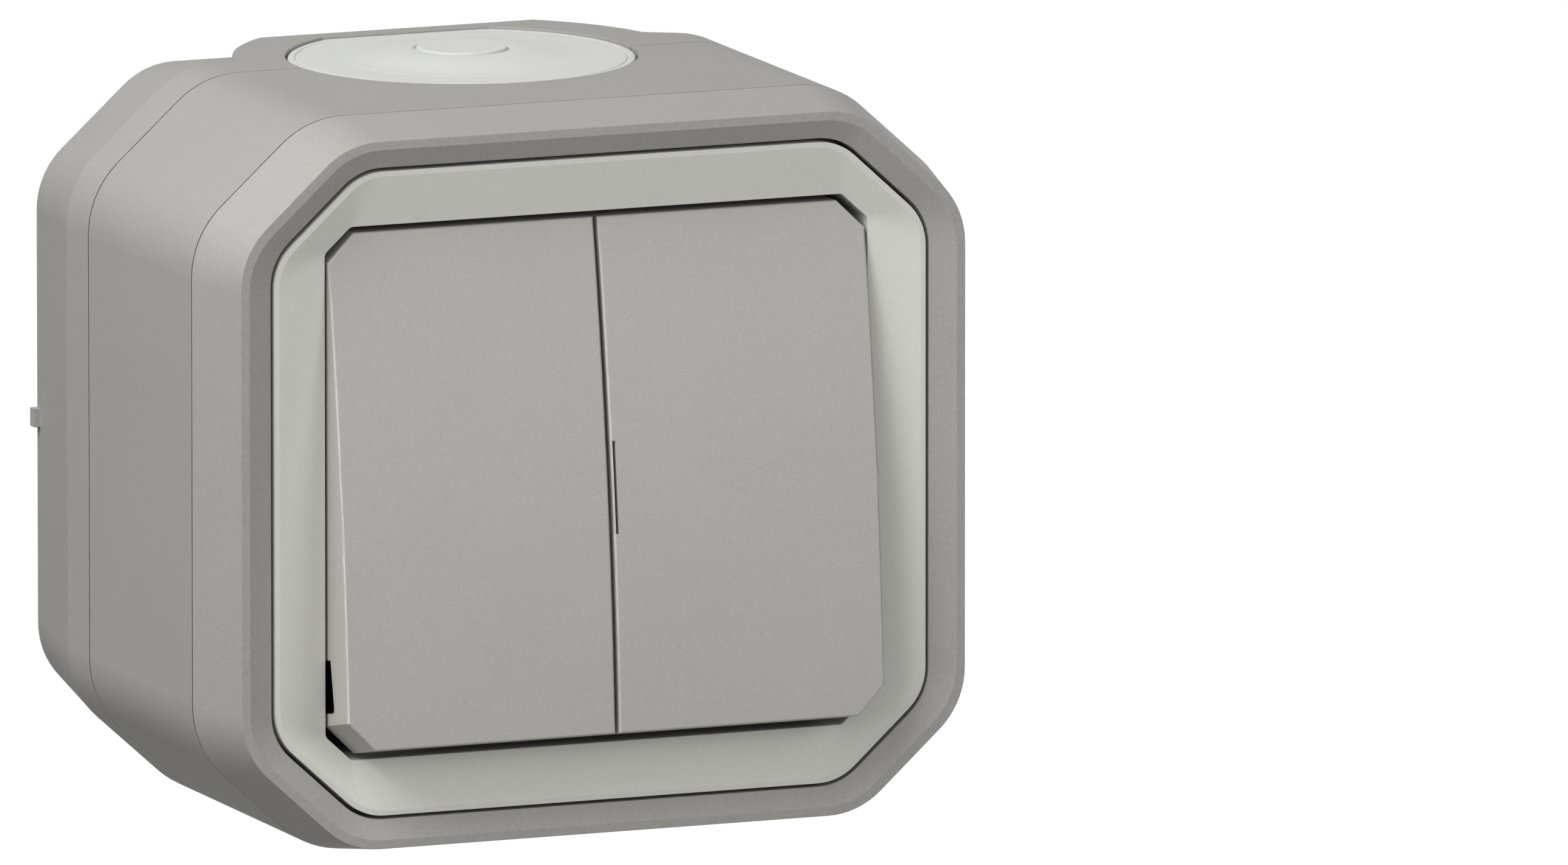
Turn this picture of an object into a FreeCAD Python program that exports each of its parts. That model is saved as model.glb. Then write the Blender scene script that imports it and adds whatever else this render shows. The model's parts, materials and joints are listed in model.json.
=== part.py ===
"""Surface mounted rocker wall switch with two half-width rockers, in a splash-proof box.

Frame: origin at the centre of the face that lies on the wall, +Y into the wall, +Z up and
+X to the right of someone who faces the switch. Lengths are millimetres. "Distance" below
is always the distance in front of the wall, so a point at distance d has y = -d.
"""
import FreeCAD
import Part

import math
import os

import Sketcher

DOCUMENT = FreeCAD.newDocument("rocker_wall_switch")
SHEET = DOCUMENT.addObject("Spreadsheet::Sheet", "Dims")

DRIVING_DIMENSIONS = {
    # the octagonal box
    "body_half_width": 39.46, "body_half_height": 35.86,
    "corner_cut_across": 12.02, "corner_cut_up": 10.85, "corner_round": 9.35,
    "wall_taper": 1.75, "taper_distance": 12.6,
    "rear_seam": 18.5, "front_seam": 45.9, "rim_distance": 54.2,
    "seam_width": 0.24, "shell_wall": 2.2, "back_wall": 2.6,
    # the front bezel and the light frame in it
    "rim_inset": 1.86, "rim_inset_up": 1.3, "rim_width": 0.85,
    "gap_half_width": 34.19, "gap_half_height": 31.83,
    "gap_cut_across": 9.22, "gap_cut_up": 8.43, "gap_round": 5.9,
    "gap_distance": 53.2, "gap_width": 0.36, "ledge_distance": 48.2,
    "frame_edge_distance": 53.35, "opening_distance": 52.2,
    "opening_half_width": 28.2, "opening_half_height": 26.07,
    "opening_cut": 2.7, "opening_round": 0.8, "well_wall": 1.2, "seal_face": 44.6,
    # the rockers, drawn about their own axis and then tilted
    "rocker_axis": 49.7, "rocker_tilt": 6.5, "rocker_crown": 5.9, "crown_radius": 350.0,
    "rocker_half_height": 25.0, "rocker_draft": 0.55, "rocker_outer_side": 27.9, "rocker_inner_side": 0.21,
    "rocker_skirt": 0.9, "rocker_plate": 2.5, "skirt_wall": 1.7, "rocker_corner": 2.8,
    "edge_round": 0.18, "notch_low": 21.5, "notch_high": 16.3, "notch_reach": 1.65,
    # the mechanism
    "cradle_inner": 4.8, "cradle_outer": 21.6, "pin_radius": 1.25, "pin_bore": 1.3,
    "hub_radius": 2.8, "ear_wall": 1.5, "cover_face": 43.6, "cover_plate": 1.4,
    "housing_half_width": 23.5, "housing_half_height": 21.5, "housing_wall": 1.5,
    "housing_floor": 30.2, "block_back": 18.8,
    "plunger_radius": 1.6, "plunger_bore": 1.65, "plunger_tip": 13.65,
    "spring_seat": 2.6, "spring_length": 4.0, "spring_radius": 1.1, "spring_wire": 0.22,
    "arm_axis": 35.4, "arm_tilt": 8.0, "arm_half_length": 9.6, "arm_half_width": 3.6,
    "contact_height": 8.2, "contact_face": 32.8,
    # the cable entry and the fixings
    "entry_axis": 17.1, "entry_radius": 17.2, "entry_flat": 2.3, "boss_radius": 22.3,
    "membrane_play": 0.06, "membrane_top": 0.15, "membrane_depth": 2.85, "membrane_web": 1.45,
    "hollow_radius": 14.3, "dome_radius": 11.4, "dome_rise": 0.9, "nipple_radius": 4.4,
    "nipple_rise": 1.1, "nipple_wall": 0.9,
    "fixing_across": 26.0, "fixing_up": 23.0, "fixing_radius": 3.0,
    "box_screw_across": 29.4, "box_screw_up": 26.4,
    "bezel_screw_across": 31.0, "bezel_screw_up": 14.0, "frame_screw_across": 32.5,
    "frame_half_width": 35.0, "frame_half_height": 24.5,
    "mechanism_screw_across": 19.5, "mechanism_screw_up": 18.5,
    "grommet_radius": 4.6, "grommet_height": 1.4,
    # pillars, lugs and posts that take the screws
    "pillar_back": 7.0, "pillar_radius": 3.3, "pilot_back": 8.6, "pilot_radius": 1.15,
    "lug_radius": 4.2, "lug_height": 2.6, "lug_hole": 1.6,
    "post_inner": 29.6, "post_outer": 38.0, "frame_post_back": 26.0, "frame_post_half": 4.0,
    "bezel_post_back": 30.0, "bezel_post_half": 3.0, "bezel_pilot": 0.85,
    # the terminals
    "chamber_inner": 8.5, "chamber_outer": 18.5, "chamber_half": 4.2, "chamber_floor": 2.0,
    "wire_hole_across": 11.5, "wire_hole_radius": 1.7, "clamp_axis": 24.2,
    "tunnel_radius": 2.4, "cage_inner": 8.8, "cage_outer": 15.4, "cage_half": 3.6,
    "cage_wall": 1.1, "clamp_thread": 1.3, "clamp_head": 2.1,
    "tail_inner": 10.8, "tail_outer": 14.1, "strip_outer": 15.6, "strip_height": 0.8,
}


def fill_sheet():
    """Puts every driving dimension in the sheet: its name in column A, its number in B."""
    for row, (alias, size) in enumerate(DRIVING_DIMENSIONS.items(), start=1):
        SHEET.set(f"A{row}", alias)
        SHEET.set(f"B{row}", str(size))
        SHEET.setAlias(f"B{row}", alias)
    DOCUMENT.recompute()


def bind(formula):
    """Prefixes each sheet alias in a formula, so that any object can evaluate it."""
    words = []
    word = ""
    for letter in f"{formula} ":
        if letter.isalnum() or letter == "_" or letter == ".":
            word += letter
            continue
        words.append(f"Dims.{word}" if word in DRIVING_DIMENSIONS else word)
        words.append(letter)
        word = ""
    return "".join(words).strip()


def number(formula):
    """The present value of a formula of sheet aliases."""
    return float(SHEET.evalExpression(bind(formula)))


# ---------------------------------------------------------------- drawing helpers

def new_body(label):
    body = DOCUMENT.addObject("PartDesign::Body", label)
    body.Label = label
    return body


def sketch_on(body, name, plane, distance):
    """A sketch on one of the body's origin planes, moved along that plane's normal."""
    drawing = body.newObject("Sketcher::SketchObject", name)
    support = next(f for f in body.Origin.OriginFeatures if f.Role == plane)
    drawing.AttachmentSupport = (support, [""])
    drawing.MapMode = "FlatFace"
    drawing.setExpression("AttachmentOffset.Base.z", bind(distance))
    return drawing


def front_sketch(body, name, distance):
    """A sketch parallel to the wall; its own x and y are the row's X and Z."""
    return sketch_on(body, name, "XZ_Plane", distance)


def constrain(drawing, kind, arguments, formula):
    """Adds a driving constraint whose value is bound to a formula."""
    index = drawing.addConstraint(Sketcher.Constraint(kind, *arguments, number(formula)))
    drawing.setExpression(f"Constraints[{index}]", bind(formula))


def pin_point(drawing, geometry, position, across, up):
    constrain(drawing, "DistanceX", (-1, 1, geometry, position), across)
    constrain(drawing, "DistanceY", (-1, 1, geometry, position), up)


def polygon(drawing, corners):
    """A closed outline through corners, each a pair of formulas."""
    points = [FreeCAD.Vector(number(across), number(up), 0) for across, up in corners]
    count = len(points)
    first = drawing.GeometryCount
    for index in range(count):
        drawing.addGeometry(Part.LineSegment(points[index], points[(index + 1) % count]))
    for index in range(count):
        joint = (first + index, 2, first + (index + 1) % count, 1)
        drawing.addConstraint(Sketcher.Constraint("Coincident", *joint))
    for index, (across, up) in enumerate(corners):
        pin_point(drawing, first + index, 1, across, up)


def circle(drawing, across, up, radius):
    centre = FreeCAD.Vector(number(across), number(up), 0)
    normal = FreeCAD.Vector(0, 0, 1)
    index = drawing.addGeometry(Part.Circle(centre, normal, number(radius)))
    pin_point(drawing, index, 3, across, up)
    constrain(drawing, "Radius", (index,), radius)


def rounded_octagon(drawing, half_width, half_height, cut_across, cut_up, radius):
    """A rectangle with its four corners cut off and all eight new corners rounded.

    The arcs carry the sizes: an arc touches the side at half_width or half_height, and
    its centre stands back from the cut's end by radius * tan(half the turn there).
    """
    side_slack = f"({radius}) * tan(atan(({cut_across}) / ({cut_up})) / 2)"
    top_slack = f"({radius}) * tan(atan(({cut_up}) / ({cut_across})) / 2)"
    side_centre = (f"({half_width}) - ({radius})",
                   f"({half_height}) - ({cut_up}) - {side_slack}")
    top_centre = (f"({half_width}) - ({cut_across}) - {top_slack}",
                  f"({half_height}) - ({radius})")
    turn = math.atan2(number(cut_across), number(cut_up))
    quadrants = [(1, 1), (-1, 1), (-1, -1), (1, -1)]
    arcs = []
    first = drawing.GeometryCount
    for sign_across, sign_up in quadrants:
        side = (sign_across, sign_up, side_centre)
        top = (sign_across, sign_up, top_centre)
        arcs += [side, top] if sign_across == sign_up else [top, side]
    # going round anticlockwise from the right-hand side, each arc starts where the last ended
    angle = 0.0
    size = number(radius)
    ends = []
    for order, (sign_across, sign_up, centre) in enumerate(arcs):
        sweep = turn if centre is side_centre else math.pi / 2 - turn
        middle = FreeCAD.Vector(sign_across * number(centre[0]), sign_up * number(centre[1]), 0)
        full = Part.Circle(middle, FreeCAD.Vector(0, 0, 1), size)
        drawing.addGeometry(Part.ArcOfCircle(full, angle, angle + sweep))
        ends.append((full.value(angle), full.value(angle + sweep)))
        angle += sweep
    for order in range(8):
        drawing.addGeometry(Part.LineSegment(ends[order][1], ends[(order + 1) % 8][0]))
    for order in range(8):
        arc, line, next_arc = first + order, first + 8 + order, first + (order + 1) % 8
        drawing.addConstraint(Sketcher.Constraint("Tangent", arc, 2, line, 1))
        drawing.addConstraint(Sketcher.Constraint("Tangent", line, 2, next_arc, 1))
    constrain(drawing, "Radius", (first,), radius)
    for order, (sign_across, sign_up, centre) in enumerate(arcs):
        if order:
            drawing.addConstraint(Sketcher.Constraint("Equal", first, first + order))
        pin_point(drawing, first + order, 3, f"{sign_across} * ({centre[0]})",
                  f"{sign_up} * ({centre[1]})")


def pad(body, profile, length, backward=False):
    feature = body.newObject("PartDesign::Pad", f"{profile.Name}_pad")
    feature.Profile = profile
    feature.setExpression("Length", bind(length))
    feature.Reversed = backward
    return feature


def pocket(body, profile, length):
    """Cuts a profile from its own plane towards the wall."""
    feature = body.newObject("PartDesign::Pocket", f"{profile.Name}_pocket")
    feature.Profile = profile
    feature.setExpression("Length", bind(length))
    return feature


def loft(body, first, last, kind):
    """Straight-sided loft between two outlines with the same corners."""
    feature = body.newObject(f"PartDesign::{kind}Loft", f"{first.Name}_loft")
    feature.Profile = first
    feature.Sections = [(last, [""])]
    feature.Ruled = True
    return feature


def place(feature, across, distance, up):
    """Binds a primitive's corner or centre: across, distance from the wall, up."""
    feature.setExpression("Placement.Base.x", bind(across))
    feature.setExpression("Placement.Base.y", bind(f"-({distance})"))
    feature.setExpression("Placement.Base.z", bind(up))


def brick(body, name, across, distance, up, kind="Additive"):
    """A rectangular block between two values of each: across, distance and up."""
    feature = body.newObject(f"PartDesign::{kind}Box", name)
    place(feature, across[0], distance[1], up[0])
    for size, (low, high) in zip(("Length", "Width", "Height"), (across, distance, up)):
        feature.setExpression(size, bind(f"({high}) - ({low})"))
    return feature


def rod(body, name, axis, centre, span, radius, kind="Additive"):
    """A cylinder along "across", "distance" or "up".

    centre holds the two other values in the order across, distance, up; span holds the
    cylinder's lowest and highest value along its axis.
    """
    feature = body.newObject(f"PartDesign::{kind}Cylinder", name)
    low, high = span
    if axis == "across":
        feature.Placement.Rotation = FreeCAD.Rotation(FreeCAD.Vector(0, 1, 0), 90)
        place(feature, low, centre[0], centre[1])
    elif axis == "distance":
        feature.Placement.Rotation = FreeCAD.Rotation(FreeCAD.Vector(1, 0, 0), 90)
        place(feature, centre[0], low, centre[1])
    else:
        place(feature, centre[0], centre[1], low)
    feature.setExpression("Radius", bind(radius))
    feature.setExpression("Height", bind(f"({high}) - ({low})"))
    return feature


def cone(body, name, foot, foot_radius, top_radius, rise, kind="Additive"):
    """An upright cone on the cable entry's axis."""
    feature = body.newObject(f"PartDesign::{kind}Cone", name)
    place(feature, "0", "entry_axis", foot)
    for size, formula in (("Radius1", foot_radius), ("Radius2", top_radius), ("Height", rise)):
        feature.setExpression(size, bind(formula))
    return feature


def dress_edges(body, kind, size, wanted):
    """Fillets or chamfers the edges of the body's tip for which wanted(edge) is true."""
    DOCUMENT.recompute()
    base = body.Tip
    names = [f"Edge{index}" for index, edge in enumerate(base.Shape.Edges, start=1)
             if wanted(edge)]
    feature = body.newObject(f"PartDesign::{kind}", f"{body.Name}_{kind.lower()}")
    feature.Base = (base, names)
    feature.setExpression("Radius" if kind == "Fillet" else "Size", bind(size))
    return feature


def tilt(body, distance, angle, sign):
    """Stands a body that was drawn about its own axis at its place, turned about X."""
    body.Placement = FreeCAD.Placement(FreeCAD.Vector(0, -number(distance), 0),
                                       FreeCAD.Rotation(FreeCAD.Vector(sign, 0, 0), number(angle)))
    body.setExpression("Placement.Base.y", bind(f"-({distance})"))
    body.setExpression("Placement.Rotation.Angle", bind(angle))


# ------------------------------------------------------------------- shared outlines

def body_outline(body, name, distance, inset="0"):
    """The box's octagon, drawn in by an inset on every side."""
    drawing = front_sketch(body, name, distance)
    rounded_octagon(drawing, f"body_half_width - ({inset})", f"body_half_height - ({inset})",
                    f"corner_cut_across - 0.4 * ({inset})", f"corner_cut_up - 0.36 * ({inset})",
                    f"corner_round - 0.8 * ({inset})")
    return drawing


def gap_outline(body, name, distance, inset="0"):
    """The octagon of the gap between bezel and light frame, drawn in by an inset."""
    drawing = front_sketch(body, name, distance)
    gap_octagon(drawing, inset)
    return drawing


def gap_octagon(drawing, inset):
    rounded_octagon(drawing, f"gap_half_width - ({inset})", f"gap_half_height - ({inset})",
                    f"gap_cut_across - 0.4 * ({inset})", f"gap_cut_up - 0.36 * ({inset})",
                    f"gap_round - 0.8 * ({inset})")


def opening_outline(body, name, distance, outset="0"):
    """The rocker opening, a rectangle with small cut corners, drawn out by an outset."""
    drawing = front_sketch(body, name, distance)
    opening_octagon(drawing, outset)
    return drawing


def opening_octagon(drawing, outset):
    rounded_octagon(drawing, f"opening_half_width + ({outset})",
                    f"opening_half_height + ({outset})", f"opening_cut + 0.4 * ({outset})",
                    f"opening_cut * 0.92 + 0.36 * ({outset})", "opening_round")


def four_corners(across, up):
    """The four places (x, z) that mirror one place in both planes of symmetry."""
    return [(f"{a} * ({across})", f"{u} * ({up})") for a in (-1, 1) for u in (-1, 1)]


def cable_hole(body):
    """Cuts the round cable entry, flat at the wall side, down through the top wall."""
    drawing = sketch_on(body, "entry_hole", "XY_Plane", "body_half_height - 9")
    half_chord = "sqrt(entry_radius ^ 2 - (entry_axis - entry_flat) ^ 2)"
    entry_shape(drawing, "entry_radius", "entry_flat", half_chord)
    cut = body.newObject("PartDesign::Pocket", "entry_hole_pocket")
    cut.Profile = drawing
    cut.Reversed = True
    cut.setExpression("Length", "20")


def entry_shape(drawing, radius, flat, half_chord):
    """A circle about the entry's axis with its wall side cut straight at a distance."""
    size = number(radius)
    middle = FreeCAD.Vector(0, -number("entry_axis"), 0)
    ring = Part.Circle(middle, FreeCAD.Vector(0, 0, 1), size)
    rise = math.asin((number("entry_axis") - number(flat)) / size)
    arc = drawing.addGeometry(Part.ArcOfCircle(ring, math.pi - rise, 2 * math.pi + rise))
    left = FreeCAD.Vector(-number(half_chord), -number(flat), 0)
    right = FreeCAD.Vector(number(half_chord), -number(flat), 0)
    line = drawing.addGeometry(Part.LineSegment(right, left))
    drawing.addConstraint(Sketcher.Constraint("Coincident", arc, 1, line, 2))
    drawing.addConstraint(Sketcher.Constraint("Coincident", arc, 2, line, 1))
    drawing.addConstraint(Sketcher.Constraint("Horizontal", line))
    pin_point(drawing, arc, 3, "0", "-entry_axis")
    constrain(drawing, "Radius", (arc,), radius)
    constrain(drawing, "DistanceY", (-1, 1, line, 1), f"-({flat})")


# ------------------------------------------------------------------- the box

def rear_box():
    """Wall half of the box: tapered at the wall, with the cable boss and screw pillars."""
    body = new_body("rear_box")
    wall_outline = body_outline(body, "wall_outline", "0", "wall_taper")
    crease = body_outline(body, "crease_outline", "taper_distance")
    loft(body, wall_outline, crease, "Additive")
    rim = body_outline(body, "straight_outline", "taper_distance")
    pad(body, rim, "rear_seam - seam_width - taper_distance")
    rod(body, "boss", "up", ("0", "entry_axis"),
        ("body_half_height - 12", "body_half_height"), "boss_radius")
    brick(body, "boss_front_trim", ("-boss_radius - 1", "boss_radius + 1"),
          ("rear_seam - seam_width", "rear_seam + boss_radius"),
          ("body_half_height - 13", "body_half_height + 1"), "Subtractive")
    brick(body, "boss_wall_trim", ("-boss_radius", "boss_radius"), ("-boss_radius", "0"),
          ("body_half_height - 13", "body_half_height + 1"), "Subtractive")
    inner_wall = body_outline(body, "inner_wall", "back_wall", "wall_taper + shell_wall")
    inner_crease = body_outline(body, "inner_crease", "taper_distance", "shell_wall")
    loft(body, inner_wall, inner_crease, "Subtractive")
    mouth = body_outline(body, "mouth", "rear_seam - seam_width", "shell_wall")
    pocket(body, mouth, "rear_seam - seam_width - taper_distance")
    for index, (across, up) in enumerate(four_corners("box_screw_across", "box_screw_up")):
        rod(body, f"pillar_{index}", "distance", (across, up),
            ("pillar_back", "rear_seam - seam_width"), "pillar_radius")
        rod(body, f"pilot_{index}", "distance", (across, up),
            ("pilot_back", "rear_seam"), "pilot_radius", "Subtractive")
    for index, (across, up) in enumerate(four_corners("fixing_across", "fixing_up")):
        rod(body, f"fixing_{index}", "distance", (across, up),
            ("-1", "back_wall + 1"), "fixing_radius", "Subtractive")
    cable_hole(body)
    for side in (-1, 1):
        edge = f"{side} * (body_half_width - wall_taper)"
        low, high = sorted((f"{edge} - {side} * 1.6", f"{edge} + {side} * 0.75"), key=number)
        brick(body, f"level_mark_{side + 1}", (low, high), ("0", "1.2"), ("-0.9", "0.9"))


def box_gasket():
    """Flat ring that seals rear box and collar, just inside their seam."""
    body = new_body("box_gasket")
    outer = body_outline(body, "gasket_outer", "rear_seam - seam_width", "0.9")
    pad(body, outer, "seam_width")
    inner = body_outline(body, "gasket_inner", "rear_seam", "shell_wall")
    pocket(body, inner, "seam_width")
    brick(body, "entry_break", ("-entry_radius", "entry_radius"),
          ("rear_seam - 2", "rear_seam + 2"), ("body_half_height - 6", "body_half_height"),
          "Subtractive")


def box_collar():
    """Middle ring of the box, with corner lugs at the back and screw posts at the sides."""
    body = new_body("box_collar")
    outer = body_outline(body, "collar_outer", "rear_seam")
    pad(body, outer, "front_seam - seam_width - rear_seam")
    inner = body_outline(body, "collar_inner", "front_seam - seam_width", "shell_wall")
    pocket(body, inner, "front_seam - rear_seam")
    for index, (across, up) in enumerate(four_corners("box_screw_across", "box_screw_up")):
        rod(body, f"lug_{index}", "distance", (across, up),
            ("rear_seam", "rear_seam + lug_height"), "lug_radius")
        rod(body, f"lug_hole_{index}", "distance", (across, up),
            ("rear_seam - 1", "rear_seam + lug_height + 1"), "lug_hole", "Subtractive")
    for side in (-1, 1):
        name = "left" if side < 0 else "right"
        across = sorted((f"{side} * post_inner", f"{side} * post_outer"), key=number)
        brick(body, f"{name}_post", across, ("frame_post_back", "cover_face - cover_plate"),
              ("-frame_post_half", "frame_post_half"))
        rod(body, f"{name}_post_hole", "distance", (f"{side} * frame_screw_across", "0"),
            ("frame_post_back + 4", "cover_face"), "pilot_radius", "Subtractive")
        brick(body, f"{name}_bezel_post", across, ("bezel_post_back", "front_seam - seam_width"),
              (f"{side} * bezel_screw_up - bezel_post_half",
               f"{side} * bezel_screw_up + bezel_post_half"))
        rod(body, f"{name}_bezel_hole", "distance",
            (f"{side} * bezel_screw_across", f"{side} * bezel_screw_up"),
            ("bezel_post_back + 4", "front_seam"), "bezel_pilot", "Subtractive")
    cable_hole(body)


def bezel_gasket():
    """Flat ring that seals collar and bezel."""
    body = new_body("bezel_gasket")
    outer = body_outline(body, "gasket_outer", "front_seam - seam_width", "0.9")
    pad(body, outer, "seam_width")
    inner = body_outline(body, "gasket_inner", "front_seam", "shell_wall")
    pocket(body, inner, "seam_width")


def front_bezel():
    """Drafted front of the box: a flat rim, an inner bevel and a ledge for the frame."""
    body = new_body("front_bezel")
    base = body_outline(body, "bezel_base", "front_seam")
    rim = front_sketch(body, "rim_outline", "rim_distance")
    rounded_octagon(rim, "body_half_width - rim_inset", "body_half_height - rim_inset_up",
                    "corner_cut_across - 0.9", "corner_cut_up - 0.7", "corner_round - 1.2")
    loft(body, base, rim, "Additive")
    inner_rim = front_sketch(body, "inner_rim", "rim_distance")
    rounded_octagon(inner_rim, "body_half_width - rim_inset - rim_width",
                    "body_half_height - rim_inset_up - rim_width",
                    "corner_cut_across - 1.25", "corner_cut_up - 1.0", "corner_round - 1.8")
    bevel_foot = gap_outline(body, "bevel_foot", "gap_distance")
    loft(body, inner_rim, bevel_foot, "Subtractive")
    recess = gap_outline(body, "recess", "gap_distance")
    pocket(body, recess, "gap_distance - ledge_distance")
    well = opening_outline(body, "well_passage", "ledge_distance", "well_wall + 0.3")
    pocket(body, well, "ledge_distance - front_seam + 1")
    for side in (-1, 1):
        rod(body, f"screw_hole_{side + 1}", "distance",
            (f"{side} * bezel_screw_across", f"{side} * bezel_screw_up"),
            ("front_seam - 1", "ledge_distance + 1"), "bezel_pilot + 0.15", "Subtractive")


def front_frame():
    """Light frame: dished front, hollow back, and a well wall that goes in to the seal."""
    body = new_body("front_frame")
    outer = gap_outline(body, "frame_outer", "ledge_distance", "gap_width")
    pad(body, outer, "frame_edge_distance - ledge_distance")
    well = opening_outline(body, "well_outer", "seal_face", "well_wall")
    pad(body, well, "ledge_distance - seal_face")
    brow = gap_outline(body, "dish_brow", "frame_edge_distance", "gap_width + 0.5")
    lip = opening_outline(body, "dish_lip", "opening_distance")
    loft(body, brow, lip, "Subtractive")
    opening = opening_outline(body, "opening", "opening_distance")
    pocket(body, opening, "opening_distance - seal_face")
    hollow = front_sketch(body, "back_hollow", "opening_distance - 1.9")
    gap_octagon(hollow, "gap_width + 1.2")
    opening_octagon(hollow, "well_wall")
    pocket(body, hollow, "opening_distance - ledge_distance")


# ------------------------------------------------------------------- rockers and seal

def rocker(side):
    """Half-width rocker: convex plate with skirts, drawn about the hinge axis.

    In its own frame y is 0 at the hinge and negative in front of it. The crown is an arc
    about X; its ends stand back by the arc's rise over half the rocker's height.
    """
    name = "left" if side < 0 else "right"
    body = new_body(f"rocker_{name}")
    start = "-rocker_outer_side" if side < 0 else "rocker_inner_side"
    section = sketch_on(body, "section", "YZ_Plane", start)
    radius = number("crown_radius")
    half = number("rocker_half_height")
    middle = radius - number("rocker_crown")
    sweep = math.asin(half / radius)
    edge = middle - radius * math.cos(sweep)
    skirt = number("rocker_skirt")
    crown = Part.Circle(FreeCAD.Vector(middle, 0, 0), FreeCAD.Vector(0, 0, 1), radius)
    section.addGeometry(Part.ArcOfCircle(crown, math.pi - sweep, math.pi + sweep))
    foot = half + number("rocker_draft")
    corners = [FreeCAD.Vector(edge, -half, 0), FreeCAD.Vector(skirt, -foot, 0),
               FreeCAD.Vector(skirt, foot, 0), FreeCAD.Vector(edge, half, 0)]
    for index in range(3):
        section.addGeometry(Part.LineSegment(corners[index], corners[index + 1]))
    for joint in ((0, 2, 1, 1), (1, 2, 2, 1), (2, 2, 3, 1), (3, 2, 0, 1)):
        section.addConstraint(Sketcher.Constraint("Coincident", *joint))
    pin_point(section, 0, 3, "crown_radius - rocker_crown", "0")
    constrain(section, "Radius", (0,), "crown_radius")
    pin_point(section, 2, 1, "rocker_skirt", "-rocker_half_height - rocker_draft")
    pin_point(section, 2, 2, "rocker_skirt", "rocker_half_height + rocker_draft")
    constrain(section, "DistanceY", (-1, 1, 0, 1), "rocker_half_height")
    constrain(section, "DistanceY", (-1, 1, 0, 2), "-rocker_half_height")
    pad(body, section, "rocker_outer_side - rocker_inner_side")

    outer = side * number("rocker_outer_side")
    dress_edges(body, "Chamfer", "rocker_corner", lambda edge: (
        abs(edge.BoundBox.XMin - outer) < 0.01 and edge.BoundBox.XLength < 0.01
        and edge.BoundBox.ZLength < 1.0))
    in_front = -number("rocker_crown") + 2.5
    dress_edges(body, "Fillet", "edge_round", lambda edge: edge.BoundBox.YMax < in_front)

    low, high = sorted((f"{side} * (rocker_inner_side + skirt_wall)",
                        f"{side} * (rocker_outer_side - skirt_wall)"), key=number)
    inner_height = "rocker_half_height - skirt_wall - 1.2"
    brick(body, "hollow", (low, high), ("-rocker_skirt - 1", "rocker_crown - rocker_plate"),
          (f"-({inner_height})", inner_height), "Subtractive")
    if side > 0:
        brick(body, "edge_slot", ("rocker_inner_side + 0.2", "rocker_inner_side + 0.5"),
              ("1.5", "rocker_crown + 1"), ("-5.7", "3.3"), "Subtractive")
    notch = sketch_on(body, "side_notch", "YZ_Plane",
                      "-rocker_outer_side - 1" if side < 0 else
                      "rocker_outer_side - skirt_wall - 0.1")
    polygon(notch, [("1.5", "-notch_high"), ("-notch_reach + 0.45", "-notch_high"),
                    ("-notch_reach", "-notch_low + 0.6"), ("-notch_reach + 0.15", "-notch_low + 0.2"),
                    ("-notch_reach + 0.5", "-notch_low"), ("1.5", "-notch_low")])
    cut = body.newObject("PartDesign::Pocket", "side_notch_pocket")
    cut.Profile = notch
    cut.Reversed = True
    cut.setExpression("Length", bind("skirt_wall + 1.1"))
    tilt(body, "rocker_axis", "rocker_tilt", -1)


def cradle(side):
    """Rocker carrier: a plate under the rocker, a hub on the pin and a plunger tower."""
    name = "left" if side < 0 else "right"
    body = new_body(f"cradle_{name}")
    across = sorted((f"{side} * cradle_inner", f"{side} * cradle_outer"), key=number)
    middle = f"{side} * (cradle_inner + cradle_outer) / 2"
    brick(body, "plate", across, ("1.5", "rocker_crown - rocker_plate"), ("-13", "13"))
    rod(body, "hub", "across", ("0", "0"), across, "hub_radius")
    rod(body, "tower", "distance", (middle, "0"), ("-10", "0"), "hub_radius")
    rod(body, "pin_hole", "across", ("0", "0"),
        (f"{across[0]} - 1", f"{across[1]} + 1"), "pin_bore", "Subtractive")
    rod(body, "plunger_hole", "distance", (middle, "0"),
        ("-11", "-spring_seat"), "plunger_bore", "Subtractive")
    tilt(body, "rocker_axis", "rocker_tilt", -1)


def plunger(side):
    """Round-nosed plunger that slides in the cradle's tower."""
    name = "left" if side < 0 else "right"
    body = new_body(f"plunger_{name}")
    middle = f"{side} * (cradle_inner + cradle_outer) / 2"
    rod(body, "stem", "distance", (middle, "0"),
        ("-plunger_tip + plunger_radius", "-spring_seat - spring_length"), "plunger_radius")
    nose = body.newObject("PartDesign::AdditiveSphere", "nose")
    nose.setExpression("Radius", bind("plunger_radius"))
    place(nose, middle, "-plunger_tip + plunger_radius", "0")
    tilt(body, "rocker_axis", "rocker_tilt", -1)


def plunger_spring(side):
    """Coil spring between the tower's floor and the plunger."""
    name = "left" if side < 0 else "right"
    body = new_body(f"plunger_spring_{name}")
    wire = sketch_on(body, "wire", "YZ_Plane", f"{side} * (cradle_inner + cradle_outer) / 2")
    circle(wire, "spring_seat + 2 * spring_wire", "spring_radius", "spring_wire")
    coil = body.newObject("PartDesign::AdditiveHelix", "coil")
    coil.Profile = wire
    coil.ReferenceAxis = (wire, ["H_Axis"])
    coil.Mode = "height-turns-growth"
    coil.setExpression("Height", bind("spring_length - 4 * spring_wire"))
    coil.Turns = 5
    coil.Growth = 0
    tilt(body, "rocker_axis", "rocker_tilt", -1)


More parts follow.
